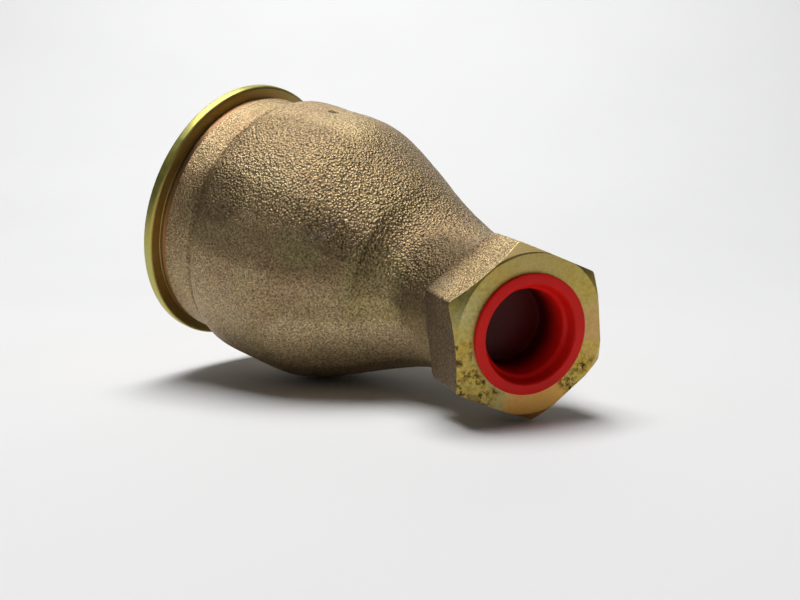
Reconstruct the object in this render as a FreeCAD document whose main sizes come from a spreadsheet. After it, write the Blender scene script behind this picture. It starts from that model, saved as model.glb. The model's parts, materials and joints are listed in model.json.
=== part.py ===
import FreeCAD, Part
# Bronze in-line basket strainer with a bent outlet neck, lying on its side.
#
# Every sub-part is drawn on one of three axes of its own:
#   flange axis  z = 0 on the flange face, +z runs into the body
#   outlet axis  z = 0 on the outlet plug's outer face, +z runs into the port
#   inlet axis   z = 0 on the inlet plug's outer face, +z runs into the cap
# The placements below lay the whole assembly down on the plane Z = 0.
import math
import os
import re

import Sketcher
from FreeCAD import Placement, Rotation, Vector

SIZES = {
    # How the strainer lies: the flange axis dips towards the port, and the body is rolled about it
    "axis_dip": 15.7,
    "body_roll": -102.1,
    # Flange, turned neck and collar
    "flange_radius": 36.5,
    "flange_thickness": 3.0,
    "flange_edge": 0.5,
    "neck_radius": 33.3,
    "neck_end": 5.0,
    "collar_radius": 33.8,
    "collar_start": 5.5,
    "collar_end": 14.0,
    "fillet_reach": 0.9,
    "collar_ease": 0.8,
    # Belly: radius at each station along the centre line
    "step_radius": 33.0,
    "rise_station": 15.6,
    "rise_radius": 35.0,
    "front_station": 18.6,
    "front_radius": 36.3,
    "belly_station": 28.0,
    "belly_radius": 36.5,
    "back_station": 38.5,
    "back_radius": 36.1,
    "shoulder_station": 48.7,
    "shoulder_radius": 32.2,
    "cone_station": 58.9,
    "cone_radius": 27.0,
    "waist_station": 69.0,
    "waist_radius": 21.8,
    "neck_station": 79.0,
    "neck_outer": 18.7,
    "stem_station": 89.0,
    "stem_radius": 17.3,
    # Flat dressed on the belly's underside, where the casting's gate was cut off
    "dressing_width": 40.0,
    "dressing_depth": 5.0,
    # Centre line: straight, then an arc, then straight to the port
    "bend_start": 60.7,
    "bend_radius": 43.0,
    "bend_angle": 32.8,
    "port_station": 112.5,
    # Outlet hexagon and both tapped ports (3/4 inch pipe thread)
    "hex_corner": 21.1,
    "hex_length": 15.2,
    "hex_turn": -3.1,
    "hex_face_radius": 18.5,
    "hex_chamfer": 1.7,
    "hex_back_radius": 20.2,
    "hex_back_chamfer": 0.8,
    "hex_overlap": 2.0,
    "port_radius": 12.5,
    "port_depth": 16.0,
    "port_mouth_radius": 13.2,
    # Mouth and cavity
    "mouth_radius": 29.5,
    "seat_depth": 15.0,
    "seat_radius": 26.8,
    "seat_end": 18.0,
    "wall": 4.0,
    "cavity_front": 29.0,
    "cavity_neck": 10.7,
    "throat_radius": 10.6,
    "throat_station": 97.5,
    "groove_inner": 31.6,
    "groove_outer": 34.0,
    "groove_depth": 1.9,
    # Cap, screwed into the mouth
    "cap_radius": 29.42,
    "cap_recess": 1.5,
    "cap_end": 11.9,
    "hub_height": 4.0,
    "hub_corner": 20.2,
    "hub_face_radius": 17.0,
    "hub_chamfer": 1.6,
    "cap_edge": 0.8,
    "pocket_inner": 16.0,
    "pocket_outer": 25.2,
    "pocket_depth": 5.4,
    "cap_groove_radius": 26.9,
    "cap_groove_start": 8.5,
    "cap_groove_end": 11.1,
    # Round seals
    "cap_seal_mean": 28.17,
    "cap_seal_wire": 1.2,
    "face_seal_mean": 32.8,
    "face_seal_wire": 1.15,
    "face_seal_height": 0.75,
    # Thread protector, used in both ports
    "plug_lip_radius": 13.9,
    "plug_lip": 1.0,
    "plug_edge": 0.4,
    "plug_skirt_radius": 12.4,
    "plug_skirt_end_radius": 12.0,
    "plug_depth": 14.0,
    "plug_mouth_radius": 11.2,
    "plug_step_depth": 2.6,
    "plug_cup_radius": 9.9,
    "plug_cup_end_radius": 9.3,
    "plug_floor": 1.3,
    # Basket
    "washer_inner": 25.8,
    "washer_outer": 29.2,
    "washer_gap": 0.1,
    "rim_start": 12.8,
    "rim_end": 14.2,
    "rim_inner": 20.0,
    "basket_radius": 22.5,
    "basket_sheet": 0.8,
    "basket_end": 50.5,
    "base_thickness": 0.9,
    "hoop_thickness": 0.8,
    "hoop_width": 3.2,
    "seam_width": 5.0,
    "seam_thickness": 0.6,
    "hole_radius": 1.4,
    "hole_first": 18.6,
    "hole_row_pitch": 4.1,
    "mesh_gap": 0.1,
    "mesh_thickness": 0.4,
    "clip_wire": 0.6,
    "clip_first": 24.0,
    "clip_last": 49.4,
    "ear_inner": 19.7,
    "ear_thickness": 0.9,
    "ear_width": 5.0,
    "ear_length": 6.4,
    "bail_height": 17.8,
    "bail_mean": 17.6,
    "bail_hang": 15.4,
    "bail_wire": 1.1,
    "bail_pin_end": 20.8,
    "bail_hole": 1.16,
}

HOLES_ROUND = 22
HOLE_ROWS = 8
BASE_RINGS = ((6, 5.6), (12, 11.0), (18, 16.6))

doc = FreeCAD.newDocument("basket_strainer")
sheet = doc.addObject("Spreadsheet::Sheet", "Sizes")
for row, (word, number) in enumerate(SIZES.items(), start=1):
    sheet.set(f"A{row}", word)
    sheet.set(f"B{row}", str(number))
    sheet.setAlias(f"B{row}", word)
doc.recompute()


def size(word):
    """Return one driving dimension from the sheet."""
    return float(getattr(sheet, word))


def bind(thing, field, formula):
    """Bind a property to a formula whose words are cells of the sheet."""
    def cell(match):
        word = match.group()
        return f"Sizes.{word}" if word in SIZES else word
    thing.setExpression(field, re.sub(r"[a-z][a-z_]+", cell, formula))


# ---------------------------------------------------------------- axes

def along_centre_line(station):
    """Placement on the body's centre line: z along it, x in the plane of the bend."""
    start = size("bend_start")
    radius = size("bend_radius")
    full_turn = math.radians(size("bend_angle"))
    turn = min(max((station - start) / radius, 0.0), full_turn)
    beyond = max(station - start - radius * full_turn, 0.0)
    across = radius * (1 - math.cos(turn)) + beyond * math.sin(turn)
    ahead = min(station, start) + radius * math.sin(turn) + beyond * math.cos(turn)
    return Placement(Vector(across, 0, ahead), Rotation(Vector(0, 1, 0), math.degrees(turn)))


def about_z(degrees):
    return Placement(Vector(0, 0, 0), Rotation(Vector(0, 0, 1), degrees))


def lifted(height):
    return Placement(Vector(0, 0, height), Rotation())


TURNED_BACK = Placement(Vector(0, 0, 0), Rotation(Vector(0, 1, 0), 180))
LYING = Placement(Vector(0, 0, 0), Rotation(Vector(0, 1, 0), 90 + size("axis_dip"))) * about_z(size("body_roll"))
FLANGE_AXIS = lifted(0)
PORT_FACE = along_centre_line(size("port_station")) * about_z(size("hex_turn"))
OUTLET_AXIS = PORT_FACE * lifted(size("plug_lip")) * TURNED_BACK
CAP_AXIS = lifted(-size("hub_height"))
INLET_AXIS = lifted(-size("hub_height") - size("plug_lip"))


# ---------------------------------------------------------------- drawing helpers

def origin_part(body, role):
    """Find one of a body's own origin planes or axes."""
    for feature in body.Origin.OriginFeatures:
        if feature.Role == role:
            return feature
    raise ValueError(role)


def new_sketch(body, name, role):
    sketch = body.newObject("Sketcher::SketchObject", name)
    sketch.AttachmentSupport = [(origin_part(body, role), "")]
    sketch.MapMode = "FlatFace"
    return sketch


def pin_point(sketch, line, across, up):
    """Hold a line's first end at (across, up), each 0 or a formula."""
    for kind, formula, axis in (("DistanceX", across, -2), ("DistanceY", up, -1)):
        if formula == "0":
            sketch.addConstraint(Sketcher.Constraint("PointOnObject", line, 1, axis))
            continue
        index = sketch.addConstraint(Sketcher.Constraint(kind, -1, 1, line, 1, 1.0 + line))
        bind(sketch, f"Constraints[{index}]", formula)


def worth(formula):
    """The number that a sum of sheet words gives, such as "rim_end - rim_start"."""
    total = 0.0
    sign = 1
    for token in formula.split():
        if token in "+-":
            sign = 1 if token == "+" else -1
        elif token != "0":
            total += sign * size(token)
    return total


def draw_outline(sketch, outline):
    """Draw a closed polygon whose corners are pairs of sheet formulas."""
    corners = [Vector(worth(across), worth(up), 0) for across, up in outline]
    count = len(corners)
    for index in range(count):
        sketch.addGeometry(Part.LineSegment(corners[index], corners[(index + 1) % count]))
    for index in range(count):
        sketch.addConstraint(Sketcher.Constraint("Coincident", index, 2, (index + 1) % count, 1))
    for index, (across, up) in enumerate(outline):
        pin_point(sketch, index, across, up)


def turned_body(name, outline, placement=None):
    """A body of revolution about its own z from an outline of (radius, height) pairs."""
    body = doc.addObject("PartDesign::Body", name)
    sketch = new_sketch(body, name + "_outline", "XZ_Plane")
    draw_outline(sketch, outline)
    turned = body.newObject("PartDesign::Revolution", name + "_turned")
    turned.Profile = sketch
    turned.ReferenceAxis = (sketch, ["V_Axis"])
    turned.Angle = 360
    body.Tip = turned
    if placement is not None:
        body.Placement = placement
    doc.recompute()
    return body


def ring_outline(inner, outer, start, end):
    return [(inner, start), (outer, start), (outer, end), (inner, end)]


def prism(name, corner, height, placement):
    """A hexagonal prism with a corner on its own x axis."""
    solid = doc.addObject("Part::Prism", name)
    solid.Polygon = 6
    bind(solid, "Circumradius", corner)
    bind(solid, "Height", height)
    solid.Placement = placement
    return solid


def cylinder(name, radius, height, placement):
    solid = doc.addObject("Part::Cylinder", name)
    bind(solid, "Radius", radius)
    bind(solid, "Height", height)
    solid.Placement = placement
    return solid


def torus(name, mean, wire, placement):
    solid = doc.addObject("Part::Torus", name)
    bind(solid, "Radius1", mean)
    bind(solid, "Radius2", wire)
    solid.Placement = placement
    return solid


def box(name, width, height, placement):
    """A square block about its own z."""
    solid = doc.addObject("Part::Box", name)
    bind(solid, "Length", width)
    bind(solid, "Width", width)
    bind(solid, "Height", height)
    middle = Placement(Vector(-size(width) / 2, -size(width) / 2, 0), Rotation())
    solid.Placement = placement * middle
    return solid


def joined(name, pieces):
    solid = doc.addObject("Part::MultiFuse", name)
    solid.Shapes = pieces
    solid.Refine = True
    return solid


def shared(name, pieces):
    solid = doc.addObject("Part::MultiCommon", name)
    solid.Shapes = pieces
    return solid


def cut(name, base, tool):
    solid = doc.addObject("Part::Cut", name)
    solid.Base = base
    solid.Tool = tool
    return solid


def grouped(name, pieces):
    """Separate identical solids in one node."""
    group = doc.addObject("Part::Compound", name)
    group.Links = pieces
    return group


def skin_through(name, stations):
    """A solid lofted through circles square to the centre line."""
    circles = []
    for index, (station, radius) in enumerate(stations):
        circle = doc.addObject("Part::Circle", f"{name}_section_{index}")
        bind(circle, "Radius", radius)
        circle.Placement = along_centre_line(worth(station))
        circles.append(circle)
    loft = doc.addObject("Part::Loft", name)
    loft.Sections = circles
    loft.Solid = True
    loft.Ruled = False
    return loft


subparts = {}


def keep(name, thing, axis):
    """Name a finished sub-part and remember which axis it was drawn on."""
    thing.Label = name
    subparts[name] = (thing, axis)


# ---------------------------------------------------------------- strainer body

def under_belly(hexagon):
    """Where the dressing block stands: under the belly, with its top level with the hexagon's lowest corner."""
    doc.recompute()
    lying = hexagon.Shape.copy()
    lying.Placement = LYING
    floor = lying.optimalBoundingBox(True, False).ZMin
    belly = LYING.multVec(Vector(0, 0, size("belly_station")))
    lowest = belly.x - size("belly_radius") * math.sin(math.radians(size("axis_dip")))
    return LYING.inverse() * Placement(Vector(lowest, 0, floor - size("dressing_depth")), Rotation())


def make_strainer_body():
    """One bronze casting: flange, turned neck, collar, belly, bent stem and hexagon."""
    front = turned_body("front", [
        ("0", "0"),
        ("flange_radius - flange_edge", "0"),
        ("flange_radius", "flange_edge"),
        ("flange_radius", "flange_thickness - flange_edge"),
        ("flange_radius - flange_edge", "flange_thickness"),
        ("neck_radius + fillet_reach", "flange_thickness"),
        ("neck_radius", "flange_thickness + fillet_reach"),
        ("neck_radius", "neck_end"),
        ("collar_radius", "collar_start"),
        ("collar_radius", "collar_end - collar_ease"),
        ("step_radius", "collar_end"),
        ("0", "collar_end"),
    ])
    belly = skin_through("belly", [
        ("collar_end", "step_radius"),
        ("rise_station", "rise_radius"),
        ("front_station", "front_radius"),
        ("belly_station", "belly_radius"),
        ("back_station", "back_radius"),
        ("shoulder_station", "shoulder_radius"),
        ("cone_station", "cone_radius"),
        ("waist_station", "waist_radius"),
        ("neck_station", "neck_outer"),
        ("stem_station", "stem_radius"),
        ("port_station - hex_length + hex_overlap", "stem_radius"),
    ])
    hex_start = PORT_FACE * lifted(-size("hex_length"))
    hex_blank = prism("hex_blank", "hex_corner", "hex_length", hex_start)
    hex_turning = turned_body("hex_turning", [
        ("0", "0"),
        ("hex_back_radius", "0"),
        ("hex_corner", "hex_back_chamfer"),
        ("hex_corner", "hex_length - hex_chamfer"),
        ("hex_face_radius", "hex_length"),
        ("0", "hex_length"),
    ], hex_start)
    hexagon = shared("hexagon", [hex_blank, hex_turning])
    rough = joined("casting_outside", [front, belly, hexagon])
    block = box("gate_dressing", "dressing_width", "dressing_depth", under_belly(hexagon))
    outside = cut("dressed_outside", rough, block)

    mouth = turned_body("mouth", [
        ("0", "0"),
        ("mouth_radius", "0"),
        ("mouth_radius", "seat_depth"),
        ("seat_radius", "seat_depth"),
        ("seat_radius", "seat_end"),
        ("0", "seat_end"),
    ])
    cavity = skin_through("cavity", [
        ("seat_end", "seat_radius"),
        ("front_station", "cavity_front"),
        ("belly_station - wall", "belly_radius - wall"),
        ("back_station", "back_radius - wall"),
        ("shoulder_station", "shoulder_radius - wall"),
        ("cone_station", "cone_radius - wall"),
        ("waist_station", "waist_radius - wall"),
        ("neck_station", "cavity_neck"),
        ("stem_station", "throat_radius"),
        ("throat_station", "throat_radius"),
    ])
    port = turned_body("port", [
        ("0", "0"),
        ("port_mouth_radius", "0"),
        ("port_radius", "port_mouth_radius - port_radius"),
        ("port_radius", "port_depth"),
        ("0", "port_depth"),
    ], PORT_FACE * TURNED_BACK)
    face_groove = turned_body("face_groove", ring_outline("groove_inner", "groove_outer", "0", "groove_depth"))
    hollows = joined("casting_hollows", [mouth, cavity, port, face_groove])
    keep("strainer_body", cut("strainer_body", outside, hollows), FLANGE_AXIS)


# ---------------------------------------------------------------- caps, plugs and seals

PLUG_OUTLINE = [
    ("plug_mouth_radius", "0"),
    ("plug_lip_radius - plug_edge", "0"),
    ("plug_lip_radius", "plug_edge"),
    ("plug_lip_radius", "plug_lip"),
    ("plug_skirt_radius", "plug_lip"),
    ("plug_skirt_end_radius", "plug_depth"),
    ("0", "plug_depth"),
    ("0", "plug_depth - plug_floor"),
    ("plug_cup_end_radius", "plug_depth - plug_floor"),
    ("plug_cup_radius", "plug_step_depth"),
    ("plug_mouth_radius", "plug_step_depth"),
]


def make_thread_protectors():
    """A red plastic cup with a lip in each tapped port."""
    keep("outlet_plug", turned_body("outlet_plug", PLUG_OUTLINE), OUTLET_AXIS)
    keep("inlet_plug", turned_body("inlet_plug", PLUG_OUTLINE), INLET_AXIS)


def make_cap():
    """Screwed cap with a hexagonal hub, the inlet port and a groove for its O-ring."""
    disc_end = "cap_end + hub_height"
    groove_start = "cap_groove_start + hub_height"
    groove_end = "cap_groove_end + hub_height"
    disc = turned_body("cap_disc", [
        ("0", "cap_recess + hub_height"),
        ("cap_radius - cap_edge", "cap_recess + hub_height"),
        ("cap_radius", "cap_recess + hub_height + cap_edge"),
        ("cap_radius", groove_start),
        ("cap_groove_radius", groove_start),
        ("cap_groove_radius", groove_end),
        ("cap_radius", groove_end),
        ("cap_radius", disc_end),
        ("pocket_outer", disc_end),
        ("pocket_outer", "cap_end + hub_height - pocket_depth"),
        ("pocket_inner", "cap_end + hub_height - pocket_depth"),
        ("pocket_inner", disc_end),
        ("0", disc_end),
    ])
    hub_blank = prism("hub_blank", "hub_corner", "hub_height + cap_recess + cap_edge", FLANGE_AXIS)
    hub_turning = turned_body("hub_turning", [
        ("0", "0"),
        ("hub_face_radius", "0"),
        ("hub_corner", "hub_chamfer"),
        ("hub_corner", "hub_height + cap_recess + cap_edge"),
        ("0", "hub_height + cap_recess + cap_edge"),
    ])
    hub = shared("hub", [hub_blank, hub_turning])
    blank = joined("cap_blank", [disc, hub])
    port = turned_body("cap_port", [
        ("0", "0"),
        ("port_mouth_radius", "0"),
        ("port_radius", "port_mouth_radius - port_radius"),
        ("port_radius", disc_end),
        ("0", disc_end),
    ])
    keep("cap", cut("cap", blank, port), CAP_AXIS)


def make_seals():
    """O-rings of the cap and the flange face, and the two flat washers round the basket rim."""
    middle = (size("cap_groove_start") + size("cap_groove_end")) / 2
    keep("cap_o_ring", torus("cap_o_ring", "cap_seal_mean", "cap_seal_wire", lifted(middle)), FLANGE_AXIS)
    face = lifted(size("face_seal_height"))
    keep("flange_o_ring", torus("flange_o_ring", "face_seal_mean", "face_seal_wire", face), FLANGE_AXIS)
    slip = ring_outline("washer_inner", "washer_outer", "cap_end + washer_gap", "rim_start - washer_gap")
    keep("slip_washer", turned_body("slip_washer", slip), FLANGE_AXIS)
    seat = ring_outline("seat_radius", "washer_outer", "rim_end + washer_gap", "seat_depth")
    keep("seat_gasket", turned_body("seat_gasket", seat), FLANGE_AXIS)


# ---------------------------------------------------------------- basket

def drill(body, name, role, circles, repeats, offset=0.0):
    """Pocket round holes, (across, up) pairs, and repeat them round the body's z axis."""
    sketch = new_sketch(body, name + "_sketch", role)
    spin_axis = Vector(0, 1, 0) if role == "XZ_Plane" else Vector(0, 0, 1)
    sketch.AttachmentOffset = Placement(Vector(0, 0, 0), Rotation(spin_axis, offset))
    for index, (across, up) in enumerate(circles):
        centre = Vector(across, up, 0)
        sketch.addGeometry(Part.Circle(centre, Vector(0, 0, 1), size("hole_radius")))
        radius = sketch.addConstraint(Sketcher.Constraint("Radius", index, size("hole_radius")))
        bind(sketch, f"Constraints[{radius}]", "hole_radius")
    pocket = body.newObject("PartDesign::Pocket", name)
    pocket.Profile = sketch
    pocket.Type = "ThroughAll"
    pocket.Reversed = role == "XY_Plane"
    pocket.Refine = False
    body.Tip = pocket
    doc.recompute()
    if repeats > 1:
        ring = body.newObject("PartDesign::PolarPattern", name + "_ring")
        ring.Originals = [pocket]
        ring.Axis = (origin_part(body, "Z_Axis"), [""])
        ring.Angle = 360
        ring.Occurrences = repeats
        ring.Refine = False
        body.Tip = ring
        doc.recompute()


def make_basket_wall():
    """Perforated sheet rolled into a tube, its rows of holes staggered."""
    sheet_ring = ring_outline("basket_radius - basket_sheet", "basket_radius", "rim_end", "basket_end")
    wall = turned_body("basket_wall", sheet_ring)
    blank_volume = wall.Shape.Volume
    heights = [size("hole_first") + row * size("hole_row_pitch") for row in range(HOLE_ROWS)]
    half_pitch = 180.0 / HOLES_ROUND
    drill(wall, "even_rows", "XZ_Plane", [(0, height) for height in heights[::2]], HOLES_ROUND)
    drill(wall, "odd_rows", "XZ_Plane", [(0, height) for height in heights[1::2]], HOLES_ROUND, half_pitch)
    check_drilled(wall, blank_volume, HOLES_ROUND * HOLE_ROWS, size("basket_sheet"))
    keep("basket_wall", wall, FLANGE_AXIS)


def check_drilled(body, blank_volume, holes, depth):
    """Stop if the holes took away much less or much more than they should."""
    expected = holes * math.pi * size("hole_radius") ** 2 * depth
    removed = blank_volume - body.Shape.Volume
    if not 0.8 * expected < removed < 1.2 * expected:
        raise ValueError(f"{body.Label}: holes removed {removed:.1f}, expected {expected:.1f}")


def make_basket_base():
    """Perforated disc that closes the basket's far end."""
    base_top = "basket_end + base_thickness"
    base = turned_body("basket_base", [
        ("0", "basket_end"), ("basket_radius", "basket_end"), ("basket_radius", base_top), ("0", base_top)])
    blank_volume = base.Shape.Volume
    drill(base, "centre_hole", "XY_Plane", [(0, 0)], 1)
    for count, radius in BASE_RINGS:
        drill(base, f"ring_of_{count}", "XY_Plane", [(radius, 0)], count)
    holes = 1 + sum(count for count, radius in BASE_RINGS)
    check_drilled(base, blank_volume, holes, size("base_thickness"))
    keep("basket_base", base, FLANGE_AXIS)


def make_basket_rings():
    """Rim, foot hoop, mesh sleeve with its end disc, and two spring hoops that hold the mesh."""
    rim = ring_outline("rim_inner", "washer_outer", "rim_start", "rim_end")
    keep("basket_rim", turned_body("basket_rim", rim), FLANGE_AXIS)
    hoop = ring_outline("basket_radius", "basket_radius + hoop_thickness", "basket_end - hoop_width", "basket_end")
    keep("foot_hoop", turned_body("foot_hoop", hoop), FLANGE_AXIS)
    mesh_outer = "basket_radius - basket_sheet - mesh_gap"
    mesh_inner = mesh_outer + " - mesh_thickness"
    sleeve = ring_outline(mesh_inner, mesh_outer, "rim_end", "basket_end - mesh_thickness")
    keep("mesh_sleeve", turned_body("mesh_sleeve", sleeve), FLANGE_AXIS)
    disc = [("0", "basket_end - mesh_thickness"), (mesh_outer, "basket_end - mesh_thickness"),
            (mesh_outer, "basket_end"), ("0", "basket_end")]
    keep("mesh_disc", turned_body("mesh_disc", disc), FLANGE_AXIS)
    mean = mesh_inner + " - clip_wire"
    clips = [torus(f"mesh_hoop_{word}", mean, "clip_wire", lifted(size(word))) for word in ("clip_first", "clip_last")]
    keep("mesh_hoops", grouped("mesh_hoops", clips), FLANGE_AXIS)


def make_seam():
    """Lap strip welded over the joint in the rolled sheet, between the rim and the foot hoop."""
    tube = turned_body("seam_tube", ring_outline(
        "basket_radius", "basket_radius + seam_thickness", "rim_end", "basket_end - hoop_width"))
    bar = doc.addObject("Part::Box", "seam_bar")
    bind(bar, "Length", "washer_outer")
    bind(bar, "Width", "seam_width")
    bind(bar, "Height", "basket_end")
    bar.Placement = Placement(Vector(0, -size("seam_width") / 2, 0), Rotation())
    keep("basket_seam", shared("basket_seam", [tube, bar]), FLANGE_AXIS)


def make_bail():
    """Wire bail hanging inside the basket, and the two ears it swings in."""
    height = size("bail_height")
    hanging = Placement(Vector(0, 0, height), Rotation(Vector(1, 0, 0), size("bail_hang")))
    arc = torus("bail_arc", "bail_mean", "bail_wire", hanging)
    arc.Angle3 = 180
    across = Rotation(Vector(0, 1, 0), 90)
    pins = []
    for side, turn in (("right", 0), ("left", 180)):
        start = Placement(Vector(size("bail_mean") - size("bail_wire"), 0, height), across)
        pin = cylinder(f"bail_pin_{side}", "bail_wire", "bail_pin_end - bail_mean + bail_wire", about_z(turn) * start)
        pins.append(pin)
    keep("bail", joined("bail", [arc] + pins), FLANGE_AXIS)

    ears = []
    for side, turn in (("right", 0), ("left", 180)):
        plate = doc.addObject("Part::Box", f"ear_plate_{side}")
        bind(plate, "Length", "ear_thickness")
        bind(plate, "Width", "ear_width")
        bind(plate, "Height", "ear_length")
        corner = Vector(size("ear_inner"), -size("ear_width") / 2, size("rim_end"))
        plate.Placement = about_z(turn) * Placement(corner, Rotation())
        start = Placement(Vector(size("bail_mean"), 0, height), across)
        hole = cylinder(f"ear_hole_{side}", "bail_hole", "washer_outer - bail_mean", about_z(turn) * start)
        ears.append(cut(f"bail_ear_{side}", plate, hole))
    keep("bail_ears", grouped("bail_ears", ears), FLANGE_AXIS)


# ---------------------------------------------------------------- assembly

def settle():
    """Height and centring that put the lying strainer on Z = 0 about X = Y = 0."""
    thing, axis = subparts["strainer_body"]
    lying = thing.Shape.copy()
    lying.Placement = LYING * axis
    box = lying.optimalBoundingBox(True, False)
    return Vector(-(box.XMin + box.XMax) / 2, -(box.YMin + box.YMax) / 2, -box.ZMin)


def check_document():
    for thing in doc.Objects:
        if "Invalid" in thing.State or "Error" in thing.State:
            raise ValueError(f"{thing.Label}: {thing.State}")
    for name, (thing, axis) in subparts.items():
        if thing.Shape.isNull() or not thing.Shape.isValid() or thing.Shape.Volume <= 0:
            raise ValueError(f"{name}: bad shape")


make_strainer_body()
make_thread_protectors()
make_cap()
make_seals()
make_basket_wall()
make_basket_base()
make_basket_rings()
make_seam()
make_bail()
doc.recompute()
lift = Placement(settle(), Rotation())
for thing, axis in subparts.values():
    thing.Placement = lift * LYING * axis * thing.Placement
doc.recompute()
check_document()

os.makedirs("parts", exist_ok=True)
for name, (thing, axis) in subparts.items():
    thing.Shape.exportStep(f"parts/{name}.step")
    box = thing.Shape.optimalBoundingBox(True, False)
    print(f"{name:14s} {len(thing.Shape.Solids)} solid(s) {thing.Shape.Volume:9.1f} mm3  "
          f"X {box.XMin:7.2f} {box.XMax:7.2f}  Y {box.YMin:7.2f} {box.YMax:7.2f}  Z {box.ZMin:7.2f} {box.ZMax:7.2f}")
for label, axis in (("flange", FLANGE_AXIS), ("outlet", OUTLET_AXIS), ("inlet", INLET_AXIS)):
    place = lift * LYING * axis
    print(label, "axis starts at", place.Base, "and runs along", place.Rotation.multVec(Vector(0, 0, 1)))
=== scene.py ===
"""Looks for the bronze basket strainer: a sand-cast body with turned faces, red thread protectors,
and the cap, seals and basket inside, on a pale studio sweep."""
import json
import math

import bpy
import numpy as np
from mathutils import Matrix, Vector, noise


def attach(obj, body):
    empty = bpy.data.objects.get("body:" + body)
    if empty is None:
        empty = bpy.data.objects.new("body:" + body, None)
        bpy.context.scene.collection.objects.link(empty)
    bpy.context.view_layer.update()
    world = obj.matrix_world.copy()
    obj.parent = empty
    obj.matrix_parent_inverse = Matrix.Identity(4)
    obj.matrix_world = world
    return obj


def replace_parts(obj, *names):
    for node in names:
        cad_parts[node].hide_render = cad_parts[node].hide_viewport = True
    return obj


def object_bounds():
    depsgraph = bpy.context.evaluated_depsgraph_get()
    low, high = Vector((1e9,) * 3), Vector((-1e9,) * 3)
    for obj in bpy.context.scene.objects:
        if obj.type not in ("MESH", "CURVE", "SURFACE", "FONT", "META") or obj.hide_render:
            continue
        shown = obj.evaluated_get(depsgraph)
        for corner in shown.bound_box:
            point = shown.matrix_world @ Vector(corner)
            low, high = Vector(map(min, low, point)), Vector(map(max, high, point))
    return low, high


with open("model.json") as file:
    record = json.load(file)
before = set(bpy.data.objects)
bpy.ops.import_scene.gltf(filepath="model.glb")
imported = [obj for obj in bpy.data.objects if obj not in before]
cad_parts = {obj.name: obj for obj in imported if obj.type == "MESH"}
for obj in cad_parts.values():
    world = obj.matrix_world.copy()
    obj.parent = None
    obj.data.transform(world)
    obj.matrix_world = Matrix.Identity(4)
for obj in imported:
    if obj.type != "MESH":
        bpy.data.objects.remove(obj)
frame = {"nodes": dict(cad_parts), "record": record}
cad_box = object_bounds()

MM = 0.001
FULL_TURN = 2 * math.pi
BODY_COLUMNS = 384
PLUG_COLUMNS = 192

# ---------------------------------------------------------------- sizes, in millimetres

# Stations run along the body's bent centre line, from 0 on the flange's face to the port's face.
# Flange, with its seal groove; neck and collar
FLANGE_RADIUS = 36.5
FLANGE_THICKNESS = 3.0
FLANGE_EDGE = 0.5
GROOVE_INNER = 31.6
GROOVE_OUTER = 34.0
GROOVE_DEPTH = 1.9
NECK_RADIUS = 33.3
NECK_END = 5.0
COLLAR_RADIUS = 33.8
COLLAR_START = 5.5
COLLAR_END = 14.0
# Mouth, and the seat that the basket's rim lies on
MOUTH_RADIUS = 29.5
MOUTH_PITCH = 2.0
MOUTH_THREAD_DEPTH = 0.6
SEAT_RADIUS = 26.8
SEAT_DEPTH = 15.0
SEAT_END = 18.0
# Bend, stem and throat
WALL = 4.0
BEND_START = 60.7
BEND_RADIUS = 43.0
BEND_ANGLE = math.radians(32.8)
STEM_START = 89.0
STEM_RADIUS = 17.3
THROAT_RADIUS = 10.6
# Hexagon and tapped port; the turned face is a little off the hexagon's centre
PORT_STATION = 112.5
HEX_CORNER = 21.1
HEX_LENGTH = 15.2
HEX_START = PORT_STATION - HEX_LENGTH
HEX_TURN = math.radians(-3.1)
HEX_SHOULDER = 2.2
HEX_ROOT_STEP = 0.35
HEX_CHAMFER = 1.7
HEX_FACE_RADIUS = 18.5
FACE_SHIFT = 0.6
FACE_SHIFT_TURN = math.radians(178)
PORT_RADIUS = 12.5
PORT_MOUTH_RADIUS = 13.2
PORT_DEPTH = 16.0
PORT_PITCH = 1.8
PORT_THREAD_DEPTH = 0.8
# Steepness of a thread's flanks, and how far they reach below its root
THREAD_FLANK = 1.25
THREAD_ROOT = 0.12
# Outlines as (station, radius): the belly, the valley between it and the collar, and the hollow
BELLY = (
    (COLLAR_END, 33.0), (15.6, 35.0), (18.6, 36.3), (28.0, 36.5), (38.5, 36.1), (48.7, 32.2),
    (58.9, 27.0), (69.0, 21.8), (79.0, 18.7), (STEM_START, STEM_RADIUS), (HEX_START, STEM_RADIUS))
VALLEY = (
    (11.0, COLLAR_RADIUS), (12.4, COLLAR_RADIUS), (13.4, 33.45), (14.1, 33.05), (14.8, 33.6),
    (15.8, 34.9), (17.0, 35.9), (18.6, 36.3))
HOLLOW = (
    (SEAT_END, SEAT_RADIUS), (18.6, 29.0), (24.0, 32.4), (38.5, 32.1), (48.7, 28.2), (58.9, 23.0),
    (69.0, 17.8), (79.0, 12.0), (STEM_START, THROAT_RADIUS))
# Cap, from its hub's face: hexagonal hub, screwed disc, seal groove, and the pocket for the bail
CAP_RADIUS = 29.42
HUB_HEIGHT = 4.0
HUB_CORNER = 20.2
HUB_FACE_RADIUS = 17.0
HUB_CHAMFER = 1.6
CAP_FACE = HUB_HEIGHT + 1.5
CAP_EDGE = 0.8
CAP_GROOVE_START = HUB_HEIGHT + 8.5
CAP_GROOVE_END = HUB_HEIGHT + 11.1
CAP_GROOVE_RADIUS = 26.9
CAP_END = HUB_HEIGHT + 11.9
CAP_THREAD_DEPTH = 0.55
CAP_PORT_THREAD_DEPTH = 0.7
POCKET_OUTER = 25.2
POCKET_INNER = 16.0
POCKET_FLOOR = CAP_END - 5.4
# Thread protector: how far its lip stands off the port's face
PLUG_LIP = 1.0
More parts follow.
